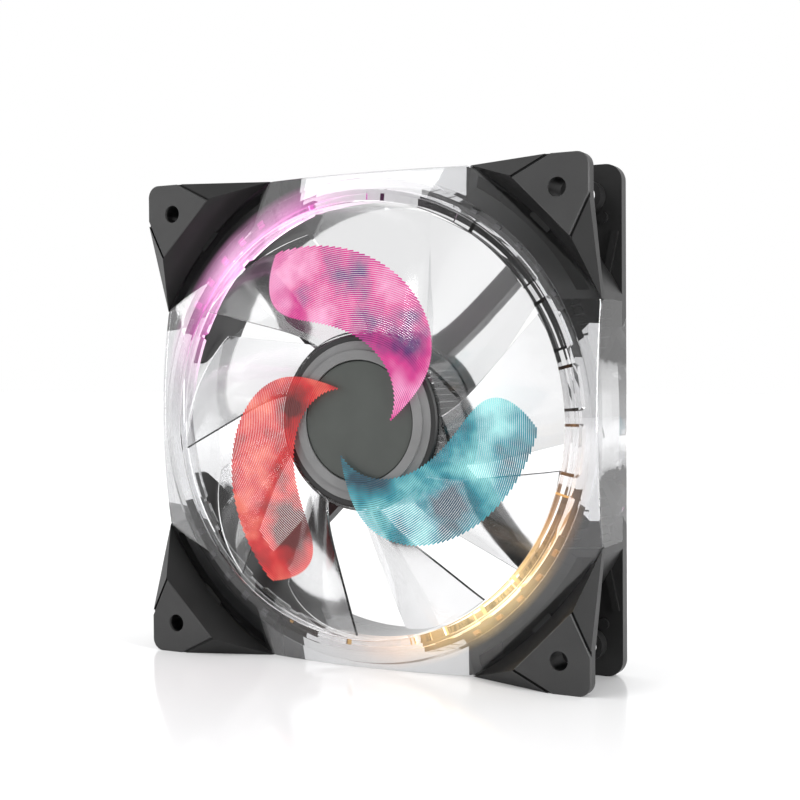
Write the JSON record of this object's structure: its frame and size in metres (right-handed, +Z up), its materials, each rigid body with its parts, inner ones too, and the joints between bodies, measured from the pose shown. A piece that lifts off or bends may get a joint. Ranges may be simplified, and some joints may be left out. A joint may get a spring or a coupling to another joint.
{
  "type": "case fan",
  "caption": "Square axial computer case fan with a clear lit intake ring, clear side windows, frosted swept blades and a stepped round hub.",
  "frame": {"origin": "centre of the 120 x 25 x 120 mm box, on the rotor's axis", "axes": "+Y from the intake to the outlet along the rotor's axis, +Z up, +X to the right when the intake is seen from the front"},
  "size_m": [0.12, 0.025, 0.12],
  "materials": {
    "black_plastic": "satin",
    "pad_grey": "matte",
    "clear_plastic": "clear polycarbonate, polished",
    "hub_grey": "satin",
    "hub_dark_grey": "satin",
    "circuit_board": "solder mask over glass laminate",
    "lamp_white": "lamp package",
    "brass": "turned",
    "sintered_bronze": "sintered, oiled",
    "nylon": "natural",
    "steel": "cold rolled",
    "copper_wire": "enamelled",
    "chip_black": "moulded",
    "dark_film": "printed film, plain",
    "ferrite": "bonded ferrite"
  },
  "bodies": {
    "frame": {"rear_frame": "black_plastic", "light_ring": "clear_plastic", "bearing_tube": "brass", "sleeve_bearing": "sintered_bronze", "thrust_pad": "nylon", "stator_core": "steel", "insulator_front": "nylon", "insulator_rear": "nylon", "windings": "copper_wire", "driver_board": "circuit_board", "hall_sensor": "chip_black", "driver_parts": "chip_black", "rear_cap": "dark_film", "front_corner_top_right": "black_plastic", "corner_pad_top_right": "pad_grey", "lamp_board_top_right": "circuit_board", "lamps_top_right": "lamp_white", "front_corner_bottom_right": "black_plastic", "corner_pad_bottom_right": "pad_grey", "lamp_board_bottom_right": "circuit_board", "lamps_bottom_right": "lamp_white", "front_corner_bottom_left": "black_plastic", "corner_pad_bottom_left": "pad_grey", "lamp_board_bottom_left": "circuit_board", "lamps_bottom_left": "lamp_white", "front_corner_top_left": "black_plastic", "corner_pad_top_left": "pad_grey", "lamp_board_top_left": "circuit_board", "lamps_top_left": "lamp_white", "side_window_right": "clear_plastic", "side_window_bottom": "clear_plastic", "side_window_left": "clear_plastic", "side_window_top": "clear_plastic"},
    "rotor": {"hub_cup": "black_plastic", "impeller": "clear_plastic", "hub_cap": "hub_grey", "hub_disc": "hub_dark_grey", "rotor_yoke": "steel", "magnet_ring": "ferrite", "shaft_bush": "brass", "shaft": "steel", "retaining_clip": "nylon"}
  },
  "joints": [
    {"name": "rotor_spin", "type": "hinge", "parent": "frame", "child": "rotor", "pos_m": [0, 0, 0], "axis": [0, -1, 0], "continuous": true}
  ]
}
